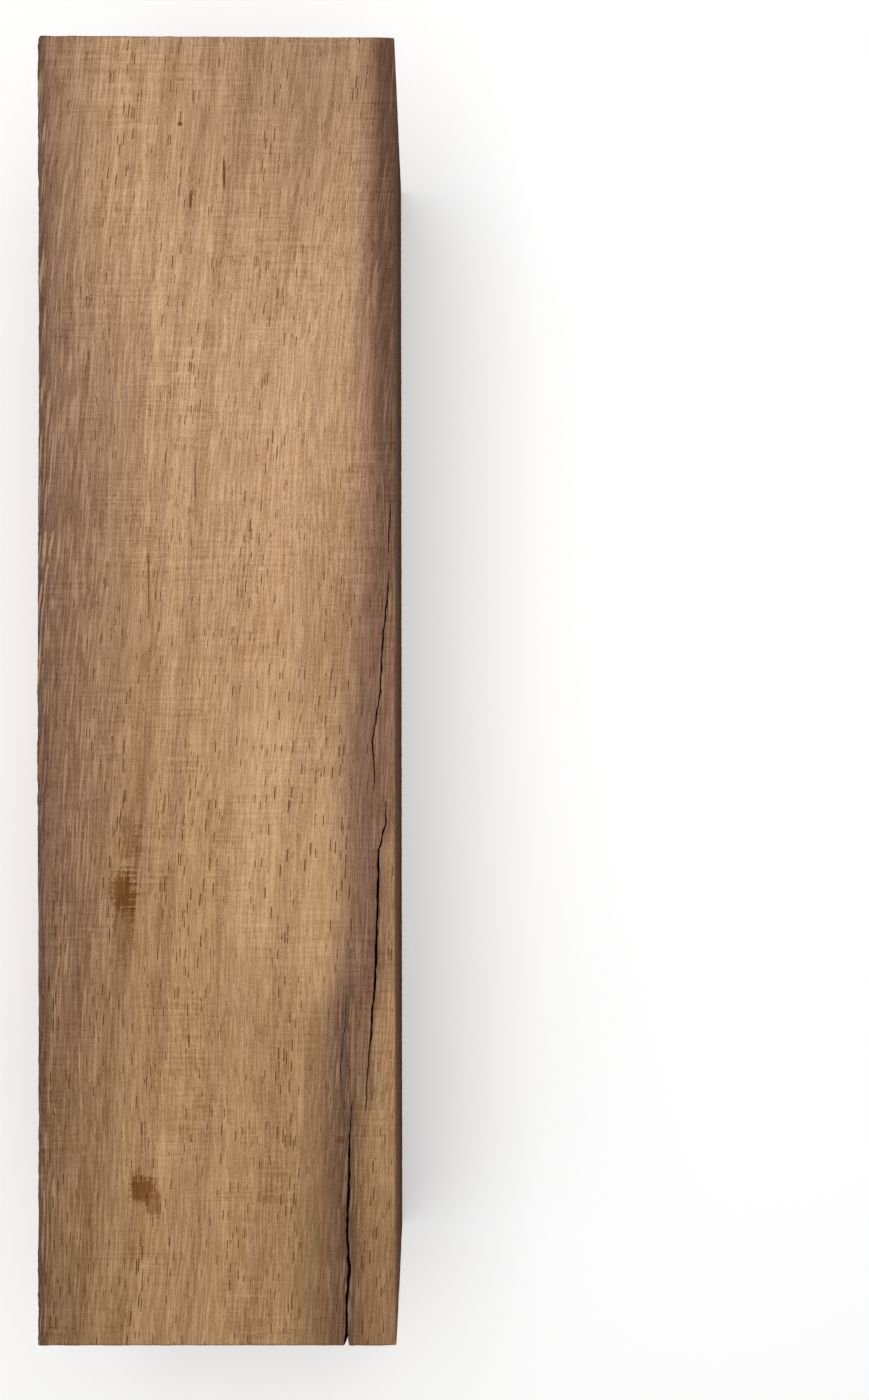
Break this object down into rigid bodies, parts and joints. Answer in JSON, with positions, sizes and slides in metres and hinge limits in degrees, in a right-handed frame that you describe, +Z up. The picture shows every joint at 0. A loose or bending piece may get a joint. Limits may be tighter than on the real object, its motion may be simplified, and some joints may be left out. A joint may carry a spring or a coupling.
{
  "type": "hardwood scantling",
  "caption": "Squared block of rough-sawn hardwood timber with drying checks near one side; lies flat on a long face and serves as a blank to saw, turn or carve.",
  "frame": {"origin": "middle of the base, on the surface that the block lies on", "axes": "+Y along the grain and the block's length, +Z up from the base to the checked upper face, +X towards the side that the checks are nearest to"},
  "size_m": [0.11, 0.4, 0.11],
  "materials": {
    "hardwood": "rough-sawn, dry and unfinished"
  },
  "bodies": {
    "root": {"scantling": "hardwood"}
  },
  "joints": []
}
